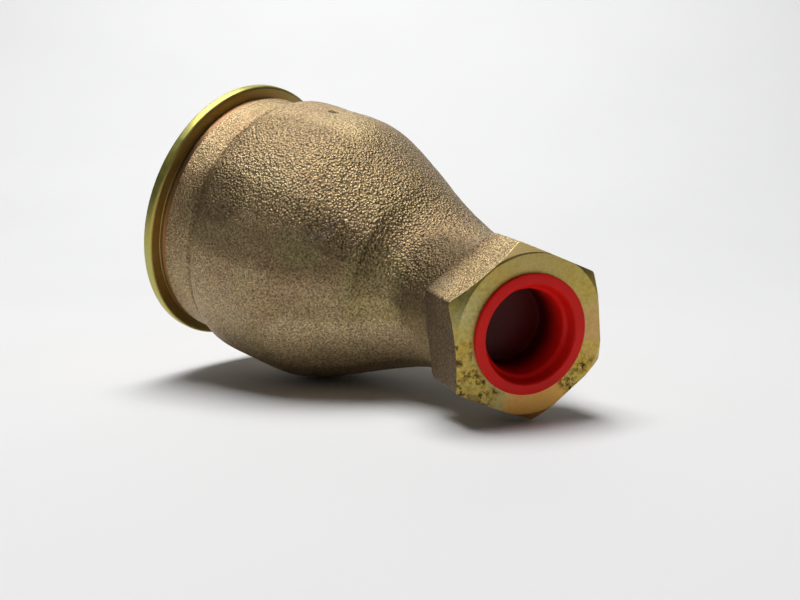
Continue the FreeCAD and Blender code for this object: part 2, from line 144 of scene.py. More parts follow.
# Wire cloth
MESH_START = 14.4
MESH_END = 49.8
MESH_DISC_STATION = 50.3
MESH_DISC_RADIUS = 21.5
SLEEVE_RADIUS = 21.4
SLEEVE_WIRES = 112
WIRE_PITCH = 1.2
WIRE_WAVE = 0.09
WIRE_RADIUS = 0.1
# Cast skin: where it is coarsest, its share of full roughness by station, and how deep it lies
COARSE_TURN = math.radians(310)
ROUGH_SHARE = (
    (5.5, 0.0), (7.0, 0.5), (16.0, 0.5), (22.0, 1.0),
    (96.0, 1.0), (99.0, 0.5), (108.5, 0.5), (110.3, 0.0))
SKIN_DROP = 0.25
# Wrinkles in it: span, shift of the noise, height, and extra height where the skin is coarsest
WRINKLES = ((12.0, (0, 0, 0), 0.18, 0.0), (2.6, (9, 4, 2), 0.04, 0.06), (1.4, (3, 7, 5), 0.02, 0.03))
# The pit near the top of the belly
BELLY_RADIUS = 36.5
PIT_STATION = 29.5
PIT_TURN = math.radians(290)
PIT_DEPTH = 0.45
PIT_RADIUS = 0.9

# ---------------------------------------------------------------- axes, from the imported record

mounts = {mount["name"]: mount for mount in frame["record"]["mounts"]}
into_body = -Vector(mounts["flange_rim"]["axis"]).normalized()
out_of_port = Vector(mounts["outlet_port"]["axis"]).normalized()
flange_centre = Vector(mounts["flange_rim"]["pos_m"]) - into_body * FLANGE_THICKNESS / 2 * MM
bend_way = (out_of_port - into_body * out_of_port.dot(into_body)).normalized()
bend_normal = into_body.cross(bend_way)


def centre_line(station):
    """Point, forward and sideways directions at a station in millimetres along the body."""
    turn = min(max((station - BEND_START) / BEND_RADIUS, 0.0), BEND_ANGLE)
    beyond = max(station - BEND_START - BEND_RADIUS * BEND_ANGLE, 0.0)
    ahead = min(station, BEND_START) + BEND_RADIUS * math.sin(turn) + beyond * math.cos(turn)
    across = BEND_RADIUS * (1 - math.cos(turn)) + beyond * math.sin(turn)
    point = flange_centre + (into_body * ahead + bend_way * across) * MM
    forward = into_body * math.cos(turn) + bend_way * math.sin(turn)
    sideways = bend_way * math.cos(turn) - into_body * math.sin(turn)
    return np.array(point), np.array(forward), np.array(sideways)


port_face, port_forward, port_sideways = centre_line(PORT_STATION)


def straight_line(start, forward, sideways):
    """A centre line that runs straight from a point."""
    start, forward, sideways = (np.array(thing, float) for thing in (start, forward, sideways))
    return lambda station: (start + forward * station * MM, forward, sideways)


outlet_line = straight_line(port_face + port_forward * PLUG_LIP * MM, -port_forward, port_sideways)
cap_line = straight_line(flange_centre - into_body * HUB_HEIGHT * MM, into_body, bend_way)
inlet_start = flange_centre - into_body * (HUB_HEIGHT + PLUG_LIP) * MM
inlet_line = straight_line(inlet_start, into_body, bend_way)

# ---------------------------------------------------------------- swept meshes


def ring_angles(columns):
    """Equal steps round the axis, with one on a corner of the hexagon."""
    return HEX_TURN + np.arange(columns) * FULL_TURN / columns


BODY_ANGLES = ring_angles(BODY_COLUMNS)
PLUG_ANGLES = ring_angles(PLUG_COLUMNS)


def hexagon(corner, angles, sharpness=70.0):
    """Radius at each angle of a hexagon with slightly rounded corners, one of them at HEX_TURN."""
    flat = corner * math.cos(math.pi / 6)
    total = np.zeros(len(angles))
    for side in range(6):
        facing = np.cos(angles - HEX_TURN - (side + 0.5) * math.pi / 3)
        total += np.clip(facing, 0, None) ** sharpness
    return flat * total ** (-1 / sharpness)


def new_piece(name, points, faces):
    """An object with a mesh of these points and faces, in the scene's collection."""
    mesh = bpy.data.meshes.new(name)
    mesh.from_pydata(points, [], faces)
    piece = bpy.data.objects.new(name, mesh)
    bpy.context.scene.collection.objects.link(piece)
    return piece


def sweep(name, line, rows, angles, crease=28):
    """A closed mesh of rings about a centre line, with its own coordinates kept in "place".

    Each row is (station, one radius or a radius per angle, material slot number).
    """
    columns = len(angles)
    points = []
    places = []
    rings = []
    for station, radius, slot_number in rows:
        centre, forward, sideways = line(station)
        other = np.cross(forward, sideways)
        on_axis = np.ndim(radius) == 0 and radius == 0
        turns = angles[:1] if on_axis else angles
        radii = np.broadcast_to(np.asarray(radius, float), (len(turns),))
        rings.append([len(points) + (0 if on_axis else column) for column in range(columns)])
        spokes = np.cos(turns)[:, None] * sideways + np.sin(turns)[:, None] * other
        points += list(centre + MM * radii[:, None] * spokes)
        stations = np.full(len(turns), station)
        places += list(np.column_stack([stations, radii * np.cos(turns), radii * np.sin(turns)]))
    faces = []
    slots = []
    for row, here in enumerate(rings):
        after = rings[(row + 1) % len(rings)]
        for column in range(columns):
            beside = (column + 1) % columns
            corners = dict.fromkeys((here[column], here[beside], after[beside], after[column]))
            if len(corners) > 2:
                faces.append(tuple(corners))
                slots.append(rows[row][2])
    piece = new_piece(name, [tuple(point) for point in points], faces)
    mesh = piece.data
    mesh.polygons.foreach_set("material_index", slots)
    place = mesh.attributes.new("place", "FLOAT_VECTOR", "POINT")
    place.data.foreach_set("vector", np.array(places).ravel())
    mesh.shade_smooth()
    mesh.set_sharp_from_angle(angle=math.radians(crease))
    return piece


def spline(points, at):
    """Natural cubic spline through (station, radius) points."""
    x, y = np.array(points, float).T
    step = np.diff(x)
    slope = np.diff(y) / step
    count = len(x)
    matrix = np.eye(count)
    wanted = np.zeros(count)
    for index in range(1, count - 1):
        left, right = step[index - 1], step[index]
        matrix[index, index - 1:index + 2] = left, 2 * (left + right), right
        wanted[index] = 6 * (slope[index] - slope[index - 1])
    curve = np.linalg.solve(matrix, wanted)
    cell = np.clip(np.searchsorted(x, at) - 1, 0, count - 2)
    before = at - x[cell]
    after = x[cell + 1] - at
    width = step[cell]
    return ((curve[cell] * after ** 3 + curve[cell + 1] * before ** 3) / (6 * width)
            + (y[cell] / width - curve[cell] * width / 6) * after
            + (y[cell + 1] / width - curve[cell + 1] * width / 6) * before)


def line_rows(corners, spacing, slot_number, rounding=0.0):
    """Rows along straight runs between (station, radius) corners, with the inner corners rounded."""
    track = [np.array(corners[0], float)]
    for index in range(1, len(corners) - 1):
        here = np.array(corners[index], float)
        back = np.array(corners[index - 1], float) - here
        ahead = np.array(corners[index + 1], float) - here
        reach = min(rounding, 0.45 * np.linalg.norm(back), 0.45 * np.linalg.norm(ahead))
        start = here + back / max(np.linalg.norm(back), 1e-9) * reach
        finish = here + ahead / max(np.linalg.norm(ahead), 1e-9) * reach
        if reach < 0.02:
            track.append(here)
            continue
        for part in (0.0, 0.33, 0.67, 1.0):
            left = 1 - part
            track.append(left ** 2 * start + 2 * part * left * here + part ** 2 * finish)
    track.append(np.array(corners[-1], float))
    rows = []
    for before, after in zip(track[:-1], track[1:]):
        pieces = max(1, int(round(np.linalg.norm(after - before) / spacing)))
        for piece in range(pieces):
            spot = before + (after - before) * piece / pieces
            rows.append((spot[0], spot[1], slot_number))
    return rows


def thread(station_from, station_to, radius, depth, pitch, slot_number, angles):
    """Rows of a helical screw thread: radius at its one limit, radius + depth at the other."""
    rows = []
    count = int(round((station_to - station_from) / (pitch / 4)))
    for index in range(count):
        station = station_from + (station_to - station_from) * index / count
        fade = min(1.0, (station - station_from) / pitch, (station_to - station) / pitch)
        phase = (station / pitch + angles / FULL_TURN) % 1.0
        ridge = np.clip((1 - np.abs(2 * phase - 1)) * THREAD_FLANK - THREAD_ROOT, 0, 1)
        rows.append((station, radius + depth * fade * ridge, slot_number))
    return rows


# ---------------------------------------------------------------- node material helpers


def new_material(name):
    material = bpy.data.materials.new(name)
    material.use_nodes = True
    tree = material.node_tree
    shader = tree.nodes["Principled BSDF"]
    return material, tree, shader


def node(tree, kind, **values):
    """Add a node; each keyword is an input socket or a property of the node."""
    made = tree.nodes.new(kind)
    for key, value in values.items():
        socket_name = key.replace("_", " ").title()
        if hasattr(made, key):
            setattr(made, key, value)
        elif socket_name in made.inputs:
            made.inputs[socket_name].default_value = value
        else:
            raise KeyError(f"{kind} has no {key}")
    return made


def link(tree, source, target):
    tree.links.new(source, target)


def feed(tree, value, socket):
    """Give a socket a number, or link a node's output to it."""
    if isinstance(value, (int, float)):
        socket.default_value = value
    else:
        link(tree, value, socket)


def object_place(tree):
    return node(tree, "ShaderNodeTexCoord").outputs["Object"]


def noise_at(tree, scale, detail=3.0, roughness=0.5, place=None, distortion=0.0):
    """Noise from 0 to 1 over the piece's own space, or over another place."""
    made = node(tree, "ShaderNodeTexNoise", scale=scale, detail=detail, roughness=roughness,
                distortion=distortion)
    link(tree, place or object_place(tree), made.inputs["Vector"])
    return made.outputs["Fac"]


def ramp(tree, value, *stops):
    """Colour ramp; each stop is (position, colour or grey level)."""
    made = node(tree, "ShaderNodeValToRGB")
    elements = made.color_ramp.elements
    while len(elements) < len(stops):
        elements.new(0.5)
    for element, (position, colour) in zip(elements, stops):
        element.position = position
        element.color = (*colour, 1) if isinstance(colour, tuple) else (colour, colour, colour, 1)
    link(tree, value, made.inputs["Fac"])
    return made.outputs["Color"]


def blend_colours(tree, amount, first, second, kind="MIX"):
    """The first colour, with an amount of the second mixed or multiplied in."""
    made = tree.nodes.new("ShaderNodeMix")
    made.data_type = "RGBA"
    made.blend_type = kind
    sockets = {socket.identifier: socket for socket in made.inputs}
    for name, value in (("Factor_Float", amount), ("A_Color", first), ("B_Color", second)):
        if isinstance(value, tuple):
            sockets[name].default_value = (*value, 1)
        else:
            feed(tree, value, sockets[name])
    return [socket for socket in made.outputs if socket.identifier == "Result_Color"][0]


def maths(tree, operation, first, second=0.0):
    """One step of arithmetic between numbers or outputs of nodes."""
    made = tree.nodes.new("ShaderNodeMath")
    made.operation = operation
    feed(tree, first, made.inputs[0])
    feed(tree, second, made.inputs[1])
    return made.outputs["Value"]


def place_parts(tree):
    """Station, radius and angle of the surface point about its centre line."""
    stored = node(tree, "ShaderNodeAttribute", attribute_name="place")
    split = node(tree, "ShaderNodeSeparateXYZ")
    link(tree, stored.outputs["Vector"], split.inputs["Vector"])
    across, upward = split.outputs["Y"], split.outputs["Z"]
    squares = maths(tree, "ADD", maths(tree, "MULTIPLY", across, across),
                    maths(tree, "MULTIPLY", upward, upward))
    return split.outputs["X"], maths(tree, "SQRT", squares), maths(tree, "ARCTAN2", upward, across)


def bump(tree, height, distance, strength=1.0, under=None):
    """Fine relief as a normal, over another normal if one is given."""
    made = node(tree, "ShaderNodeBump", distance=distance)
    link(tree, height, made.inputs["Height"])
    feed(tree, strength, made.inputs["Strength"])
    if under is not None:
        link(tree, under, made.inputs["Normal"])
    return made.outputs["Normal"]


def smooth_rise(tree, value, low, high):
    """0 up to one limit of a value, 1 beyond the other, with a smooth rise between them."""
    made = node(tree, "ShaderNodeMapRange", interpolation_type="SMOOTHSTEP",
                from_min=low, from_max=high)
    link(tree, value, made.inputs["Value"])
    return made.outputs["Result"]


def window(tree, value, low, high, soft):
    """1 where a value lies between two limits, fading to 0 over a soft edge."""
    beyond = smooth_rise(tree, value, high, high + soft)
    return maths(tree, "MULTIPLY", smooth_rise(tree, value, low - soft, low),
                 maths(tree, "SUBTRACT", 1.0, beyond))


def patch(tree, parts, station, half_length, angle, half_turn, soft, blur):
    """1 inside a rounded patch of the surface, 0 outside it.

    It is centred on a station and an angle in degrees, and reaches half its length and half its
    turn each way. Its edge is soft, and the blur, a noise, makes it uneven.
    """
    along = maths(tree, "DIVIDE", maths(tree, "SUBTRACT", parts[0], station), half_length)
    half_angle = maths(tree, "MULTIPLY", maths(tree, "SUBTRACT", parts[2], math.radians(angle)), 0.5)
    limit = math.sin(math.radians(half_turn) / 2)
    around = maths(tree, "DIVIDE", maths(tree, "SINE", half_angle), limit)
    cubes = maths(tree, "ADD", maths(tree, "POWER", maths(tree, "ABSOLUTE", along), 3.0),
                  maths(tree, "POWER", maths(tree, "ABSOLUTE", around), 3.0))
    unevenness = maths(tree, "MULTIPLY", maths(tree, "SUBTRACT", blur, 0.5), soft * 2)
    edge = smooth_rise(tree, maths(tree, "ADD", cubes, unevenness), 1 - soft, 1 + soft)
    return maths(tree, "SUBTRACT", 1.0, edge)


def lay_over(tree, base, stains_and_painted_light):
    """Lay stains and painted light and shade over a colour in turn, each as (mask, share, colour)."""
    for mask, share, colour in stains_and_painted_light:
        base = blend_colours(tree, maths(tree, "MULTIPLY", mask, share), base, colour)
    return base


# ---------------------------------------------------------------- materials


def coarse_skin(tree, parts, blur):
    """Where the mould's sand was coarsest: along the belly's crown and round the bend."""
    return maths(tree, "MAXIMUM", patch(tree, parts, 36.0, 21.0, 329.0, 24.0, 0.5, blur),
                 patch(tree, parts, 72.0, 29.0, 305.0, 56.0, 0.4, blur))


def cast_stains_and_painted_light(tree, parts, coarse, fine, cloud, tint):
    """Stains on the cast skin, with painted shade and painted light among them, as (mask, share,
    colour), each one over those before it.
    """
    station, radius, angle = parts
    # Painted shade on the hexagon's flat that faces down and to the left.
    facing = maths(tree, "COSINE", maths(tree, "SUBTRACT", angle, HEX_TURN + math.pi / 6))
    hex_side_shade = maths(tree, "MULTIPLY", window(tree, station, 96.0, 113.0, 1.5),
                     window(tree, facing, 0.87, 1.1, 0.03))
    # Painted shade in the valley where the collar meets the belly.
    valley = maths(tree, "MULTIPLY", window(tree, station, 13.6, 14.6, 0.7),
                   window(tree, radius, 32.0, 36.0, 0.2))
    bluish = ramp(tree, noise_at(tree, 95, distortion=0.8), (0.62, 0.0), (0.72, 0.75))

    def place_patch(*place, blur=tint):
        """Placed by station and half length, angle and half turn, and the softness of its edge."""
        return patch(tree, parts, *place, blur)

    # Painted shade over the front of the belly, the side that faces the camera.
    front_shade = place_patch(34.0, 27.0, 358.0, 17.0, 0.6, blur=cloud)
    shadow = place_patch(55.0, 7.5, 352.0, 8.0, 0.55)
    green = place_patch(47.5, 5.5, 2.0, 7.0, 0.7)
    pad = place_patch(70.5, 12.0, 10.0, 27.0, 0.30)
    # Painted light: floor light bounced up onto the chin and the lower side of the belly.
    chin_bounce_light = place_patch(70.5, 10.5, 26.0, 10.0, 0.30)
    under = place_patch(66.0, 26.0, 52.0, 20.0, 0.6)
    # Painted shade in the hollow of the stem's root by the hexagon.
    root_shade = place_patch(89.0, 13.0, 344.0, 40.0, 0.9)
    # Painted shade on the front of the belly next to the collar.
    left = place_patch(20.0, 9.0, 352.0, 12.0, 0.6)
    crown = place_patch(26.0, 14.0, 303.0, 13.0, 0.6)
    # Painted shade inside the pit near the top of the belly.
    pit_shade = place_patch(29.5, 1.4, 290.0, 1.8, 0.5, blur=fine)
    return (
        (front_shade, 0.55, (0.160, 0.110, 0.052)),
        (shadow, 0.45, (0.110, 0.076, 0.036)),
        (green, 0.38, (0.250, 0.240, 0.100)),
        (pad, 0.50, (0.340, 0.285, 0.120)),
        (chin_bounce_light, 0.55, (0.620, 0.480, 0.220)),
        (under, 0.75, (0.760, 0.580, 0.330)),
        (root_shade, 0.72, (0.090, 0.062, 0.034)),
        (coarse, 0.22, (0.200, 0.140, 0.070)),
        (left, 0.70, (0.160, 0.112, 0.056)),
        (crown, 0.35, (0.330, 0.240, 0.130)),
        (hex_side_shade, 0.72, (0.110, 0.070, 0.042)),
        (valley, 0.22, (0.130, 0.090, 0.048)),
        (pit_shade, 0.80, (0.050, 0.035, 0.020)),
        (bluish, 0.25, (0.200, 0.195, 0.195)))


def cast_relief(tree, station, coarse, fine, domes, wrinkles):
    """Grain of the cast skin as a normal: deepest where it is coarse, shallower on the hexagon."""
    on_hexagon = window(tree, station, HEX_START - 1.0, PORT_STATION, 0.5)
    depth = maths(tree, "MULTIPLY", maths(tree, "ADD", 0.30, maths(tree, "MULTIPLY", coarse, 0.70)),
                  maths(tree, "SUBTRACT", 1.0, maths(tree, "MULTIPLY", on_hexagon, 0.35)))
    grain = bump(tree, fine, 0.46 * MM, 0.8)
    grain = bump(tree, domes, 0.34 * MM, depth, grain)
    return bump(tree, wrinkles, 0.22 * MM, maths(tree, "MULTIPLY", depth, 0.8), grain)


def cast_bronze():
    """Sand-cast skin: grains with painted shade in the hollows between them and painted highlight on
    their crests, and the stains and painted light and shade over it.
    """
    material, tree, shader = new_material("cast_bronze")
    parts = place_parts(tree)
    fine = noise_at(tree, 2000, roughness=0.65)
    cells = node(tree, "ShaderNodeTexVoronoi", scale=1550.0, randomness=1.0)
    link(tree, object_place(tree), cells.inputs["Vector"])
    domes = maths(tree, "SUBTRACT", 1.0, cells.outputs["Distance"])
    wrinkles = noise_at(tree, 1250, roughness=0.6)
    cloud = noise_at(tree, 34, detail=4.0, roughness=0.6)
    tint = noise_at(tree, 70, roughness=0.55, distortion=0.4)
    coarse = coarse_skin(tree, parts, tint)

    base = ramp(tree, cloud, (0.34, (0.370, 0.258, 0.128)), (0.5, (0.440, 0.322, 0.168)),
                (0.66, (0.510, 0.386, 0.220)))
    rosy = ramp(tree, tint, (0.42, (0.430, 0.285, 0.170)), (0.60, (0.400, 0.310, 0.140)))
    base = blend_colours(tree, 0.30, base, rosy)
    base = lay_over(tree, base, cast_stains_and_painted_light(tree, parts, coarse, fine, cloud, tint))
    # Painted shade in the grain's hollows and painted highlight on its crests, then painted shade in
    # the gaps between the grains.
    grain_shade_and_highlight = ramp(tree, fine, (0.34, 0.30), (0.50, 0.95), (0.66, 1.65))
    base = blend_colours(tree, 0.85, base, grain_shade_and_highlight, "MULTIPLY")
    gap_shade = ramp(tree, domes, (0.28, 0.55), (0.55, 1.0), (0.85, 1.15))
    gap_share = maths(tree, "ADD", 0.30, maths(tree, "MULTIPLY", coarse, 0.55))
    base = blend_colours(tree, gap_share, base, gap_shade, "MULTIPLY")

    link(tree, base, shader.inputs["Base Color"])
    shader.inputs["Metallic"].default_value = 0.92
    link(tree, ramp(tree, wrinkles, (0.3, 0.40), (0.7, 0.52)), shader.inputs["Roughness"])
    link(tree, cast_relief(tree, parts[0], coarse, fine, domes, wrinkles), shader.inputs["Normal"])
    return material


def turned_surface(tree, shader, parts):
    """Tarnish, lathe marks and specks of a turned metal; gives its colour, mottle and roughness."""
    station, radius = parts[:2]
    patches = noise_at(tree, 62, roughness=0.55, distortion=0.3)
    mottle = noise_at(tree, 330, detail=4.0, roughness=0.6)
    speck = noise_at(tree, 1100, detail=4.0, roughness=0.65)
    colour = ramp(tree, patches, (0.30, (0.56, 0.36, 0.105)), (0.43, (0.58, 0.43, 0.105)),
                  (0.55, (0.51, 0.44, 0.150)), (0.68, (0.58, 0.50, 0.250)))
    shades = ramp(tree, mottle, (0.35, 0.70), (0.65, 1.15))
    colour = blend_colours(tree, 0.50, colour, shades, "MULTIPLY")
    specks = ramp(tree, speck, (0.38, (0.62, 0.52, 0.30)), (0.55, (1.0, 1.0, 1.0)),
                  (0.68, (1.18, 1.10, 0.85)))
    colour = blend_colours(tree, 0.45, colour, specks, "MULTIPLY")
    rings = maths(tree, "SINE", maths(tree, "MULTIPLY", maths(tree, "ADD", radius, station), 34.0))
    marks = bump(tree, rings, 0.01 * MM, 0.6)
    link(tree, bump(tree, speck, 0.04 * MM, 0.6, marks), shader.inputs["Normal"])
    shader.inputs["Metallic"].default_value = 0.95
    return colour, mottle, ramp(tree, mottle, (0.35, 0.34), (0.7, 0.48))


def turned_bronze():
    """The turned flange, neck and port face: tarnished in patches, with a dark crust by the port, a
    painted highlight on one chamfer facet and painted shade at both ends of the neck.
    """
    material, tree, shader = new_material("turned_bronze")
    parts = place_parts(tree)
    station, radius = parts[:2]
    colour, mottle, rough = turned_surface(tree, shader, parts)

    def on_face(angle, half_turn, soft):
        """A patch of the port's face."""
        return patch(tree, parts, PORT_STATION, 4.0, angle, half_turn, soft, mottle)

    heat = on_face(120.0, 30.0, 0.7)
    rose = on_face(205.0, 16.0, 0.7)
    top = on_face(290.0, 40.0, 0.8)
    outer = maths(tree, "MULTIPLY", window(tree, radius, 14.8, 22.0, 0.8),
                  window(tree, station, PORT_STATION - 2.2, PORT_STATION + 1.0, 0.3))
    crust = maths(tree, "MAXIMUM", on_face(62.0, 20.0, 0.6), on_face(30.0, 9.0, 0.6))
    crust = maths(tree, "MAXIMUM", crust, on_face(160.0, 17.0, 0.6))
    crust = maths(tree, "MULTIPLY", crust, outer)
    gilt = maths(tree, "MULTIPLY", crust, 0.75)
    speck = noise_at(tree, 850, detail=4.0, roughness=0.7)
    crust = maths(tree, "MULTIPLY", crust, ramp(tree, mottle, (0.42, 0.25), (0.58, 1.0)))
    crust = maths(tree, "MULTIPLY", crust, ramp(tree, speck, (0.44, 0.0), (0.56, 1.0)))
    on_rim = maths(tree, "MULTIPLY", window(tree, station, -1.0, 2.9, 0.1),
                   window(tree, radius, 35.9, 38.0, 0.2))
    # Painted highlight: a near-white chamfer facet at the top of the port's face.
    facet_highlight = patch(tree, parts, PORT_STATION - 0.9, 1.6, 297.0, 21.0, 0.1, mottle)
    facet_highlight = maths(tree, "MULTIPLY", facet_highlight, window(tree, radius, HEX_FACE_RADIUS + 0.1, 25.0, 0.1))
    flange_back = window(tree, station, 2.85, 3.2, 0.1)
    # Painted shade in the corner behind the flange and at the step onto the collar; the copper band
    # between them is the neck's own colour.
    neck_root_shade = window(tree, station, 3.25, 4.0, 0.10)
    neck = window(tree, station, 4.05, 5.05, 0.15)
    neck_end_shade = window(tree, station, 5.05, 5.7, 0.15)
    colour = lay_over(tree, colour, (
        (heat, 0.72, (0.800, 0.390, 0.090)),
        (rose, 0.40, (0.600, 0.340, 0.190)),
        (top, 0.45, (0.560, 0.380, 0.100)),
        (gilt, 0.60, (0.600, 0.400, 0.045)),
        (crust, 0.92, (0.095, 0.055, 0.022)),
        (on_rim, 0.75, (0.440, 0.420, 0.105)),
        (facet_highlight, 0.90, (1.000, 0.790, 0.360)),
        (flange_back, 0.80, (0.370, 0.235, 0.065)),
        (neck_root_shade, 0.80, (0.150, 0.085, 0.050)),
        (neck, 0.85, (0.430, 0.210, 0.120)),
        (neck_end_shade, 0.80, (0.120, 0.095, 0.080))))
    link(tree, colour, shader.inputs["Base Color"])
    dull = blend_colours(tree, crust, rough, (0.75, 0.75, 0.75))
    link(tree, blend_colours(tree, facet_highlight, dull, (0.62, 0.62, 0.62)), shader.inputs["Roughness"])
    return material


def turned_brass():
    """The cap, turned all over."""
    material, tree, shader = new_material("turned_brass")
    colour, mottle, rough = turned_surface(tree, shader, place_parts(tree))
    link(tree, colour, shader.inputs["Base Color"])
    link(tree, rough, shader.inputs["Roughness"])
    return material


def red_plastic():
    """Moulded plastic, with painted shade that darkens it towards the bottom of its cup."""
    material, tree, shader = new_material("red_plastic")
    station, radius = place_parts(tree)[:2]
    cloud = noise_at(tree, 160)
    scuff = noise_at(tree, 900, roughness=0.6)
    colour = ramp(tree, cloud, (0.3, (0.74, 0.010, 0.007)), (0.7, (0.82, 0.014, 0.009)))
    # Painted shade: the inside of the cup darkens with depth.
    inside = window(tree, radius, -1.0, 11.15, 0.1)
    depth = smooth_rise(tree, station, 3.2, 10.5)
    cup_shade = maths(tree, "MULTIPLY", maths(tree, "MULTIPLY", inside, depth), 0.96)
    colour = blend_colours(tree, cup_shade, colour, (0.045, 0.002, 0.002))
    link(tree, colour, shader.inputs["Base Color"])
    link(tree, ramp(tree, scuff, (0.35, 0.30), (0.7, 0.42)), shader.inputs["Roughness"])
    shader.inputs["Specular IOR Level"].default_value = 0.15
    link(tree, bump(tree, scuff, 0.03 * MM, 0.35), shader.inputs["Normal"])
    return material


def stainless():
    """Brushed along the strainer's length."""
    material, tree, shader = new_material("stainless")
    stretched = node(tree, "ShaderNodeMapping")
    stretched.inputs["Scale"].default_value = (1.0, 8.0, 8.0)
    link(tree, object_place(tree), stretched.inputs["Vector"])
    brushed = noise_at(tree, 260, detail=4.0, roughness=0.6, place=stretched.outputs["Vector"])
    colour = ramp(tree, brushed, (0.3, (0.50, 0.50, 0.48)), (0.7, (0.66, 0.66, 0.64)))
    link(tree, colour, shader.inputs["Base Color"])
    link(tree, ramp(tree, brushed, (0.3, 0.24), (0.7, 0.42)), shader.inputs["Roughness"])
    shader.inputs["Metallic"].default_value = 1.0
    link(tree, bump(tree, brushed, 0.03 * MM, 0.4), shader.inputs["Normal"])
    return material


def black_rubber():
    """Matt rubber of the seals."""
    material, tree, shader = new_material("black_rubber")
    mottle = noise_at(tree, 420)
    colour = ramp(tree, mottle, (0.3, (0.012, 0.012, 0.012)), (0.7, (0.030, 0.029, 0.028)))
    link(tree, colour, shader.inputs["Base Color"])
    link(tree, ramp(tree, mottle, (0.3, 0.48), (0.7, 0.66)), shader.inputs["Roughness"])
    link(tree, bump(tree, mottle, 0.04 * MM, 0.4), shader.inputs["Normal"])
    return material


def red_fibre():
    """Pressed fibre of the gasket and washer."""
    material, tree, shader = new_material("red_fibre")
    mottle = noise_at(tree, 700, detail=4.0, roughness=0.65)
    colour = ramp(tree, mottle, (0.3, (0.20, 0.055, 0.030)), (0.7, (0.33, 0.11, 0.060)))
    link(tree, colour, shader.inputs["Base Color"])
    link(tree, ramp(tree, mottle, (0.3, 0.60), (0.7, 0.80)), shader.inputs["Roughness"])
    link(tree, bump(tree, mottle, 0.06 * MM, 0.5), shader.inputs["Normal"])
    return material


materials = {maker.__name__: maker() for maker in (
    cast_bronze, turned_bronze, turned_brass, red_plastic, stainless, black_rubber, red_fibre)}

# ---------------------------------------------------------------- strainer body

CAST, TURNED = 0, 1


def flange_rows():
    """The flange with its seal groove, the neck, the collar and the belly, from the mouth onwards."""
    rows = line_rows([(0.0, MOUTH_RADIUS), (0.0, GROOVE_INNER), (GROOVE_DEPTH, GROOVE_INNER),
                      (GROOVE_DEPTH, GROOVE_OUTER), (0.0, GROOVE_OUTER),
                      (0.0, FLANGE_RADIUS - FLANGE_EDGE), (FLANGE_EDGE, FLANGE_RADIUS),
                      (FLANGE_THICKNESS - FLANGE_EDGE, FLANGE_RADIUS),
                      (FLANGE_THICKNESS, FLANGE_RADIUS - FLANGE_EDGE), (FLANGE_THICKNESS, NECK_RADIUS),
                      (NECK_END, NECK_RADIUS)], 1.6, TURNED, 0.3)
    rows += line_rows([(NECK_END, NECK_RADIUS), (COLLAR_START, COLLAR_RADIUS), (11.4, COLLAR_RADIUS)],
                      0.8, CAST, 0.5)
    valley = np.arange(12.0, 17.8, 0.4)
    belly = np.arange(18.0, HEX_START - HEX_SHOULDER - 0.3, 0.78)
    for stations, profile in ((valley, VALLEY), (belly, BELLY)):
        rows += [(station, float(radius), CAST)
                 for station, radius in zip(stations, spline(profile, stations))]
    return rows


def hexagon_rows():
    """The hexagon: a shoulder, flats that get crisper outwards, an off-centre chamfer and the face."""
    rows = []
    blunt = hexagon(HEX_CORNER, BODY_ANGLES, 48.0)
    crisp = hexagon(HEX_CORNER, BODY_ANGLES, 90.0)
    sunk = blunt - HEX_ROOT_STEP
    for part in np.linspace(0, 1, 7)[:-1]:
        rise = STEM_RADIUS + (sunk - STEM_RADIUS) * part ** 1.6
        rows.append((HEX_START - HEX_SHOULDER * (1 - part), rise, CAST))
    for into in (0.0, 0.5, 1.1):
        rows.append((HEX_START + into, sunk + HEX_ROOT_STEP * min(1, into), CAST))
    for into in np.linspace(1.8, HEX_LENGTH - 1.25 * HEX_CHAMFER, 16):
        mix = (into / HEX_LENGTH) ** 2
        rows.append((HEX_START + into, blunt * (1 - mix) + crisp * mix, CAST))
    off_centre = FACE_SHIFT * np.cos(BODY_ANGLES - FACE_SHIFT_TURN)
    widest = HEX_CORNER + 0.1
    for part in np.linspace(-0.25, 1, 31):
        limit = widest - (widest - HEX_FACE_RADIUS) * part + off_centre
        rows.append((PORT_STATION - HEX_CHAMFER * (1 - part), np.minimum(crisp, limit), TURNED))
    face_edge = np.minimum(crisp, HEX_FACE_RADIUS + off_centre)
    for part in np.linspace(0.0, 1.0, 8)[1:-1]:
        rows.append((PORT_STATION, face_edge * (1 - part) + PORT_MOUTH_RADIUS * part, TURNED))
    return rows


def port_rows():
    """The tapped port and the throat behind it, inwards from the face."""
    port_end = PORT_STATION - PORT_DEPTH
    rows = line_rows([(PORT_STATION, PORT_MOUTH_RADIUS), (PORT_STATION - 0.7, PORT_RADIUS)],
                     0.5, TURNED)
    rows += thread(port_end + 0.8, PORT_STATION - 0.8, PORT_RADIUS, PORT_THREAD_DEPTH, PORT_PITCH,
                   TURNED, BODY_ANGLES)[::-1]
    rows += line_rows([(port_end, PORT_RADIUS), (port_end, THROAT_RADIUS), (STEM_START, THROAT_RADIUS)],
                      2.5, CAST, 0.3)
    return rows


def hollow_rows():
    """The hollow behind the belly, the basket's seat and the threaded mouth, back to the flange."""
    stations = np.arange(STEM_START - 1.0, SEAT_END + 0.2, -2.0)
    rows = [(station, float(radius), CAST)
            for station, radius in zip(stations, np.interp(stations, *zip(*HOLLOW)))]
    rows += line_rows([(SEAT_END, SEAT_RADIUS), (SEAT_DEPTH, SEAT_RADIUS), (SEAT_DEPTH, MOUTH_RADIUS),
                       (12.0, MOUTH_RADIUS)], 1.6, TURNED, 0.2)
    rows += thread(1.5, 11.9, MOUTH_RADIUS, MOUTH_THREAD_DEPTH, MOUTH_PITCH, TURNED, BODY_ANGLES)[::-1]
    return rows


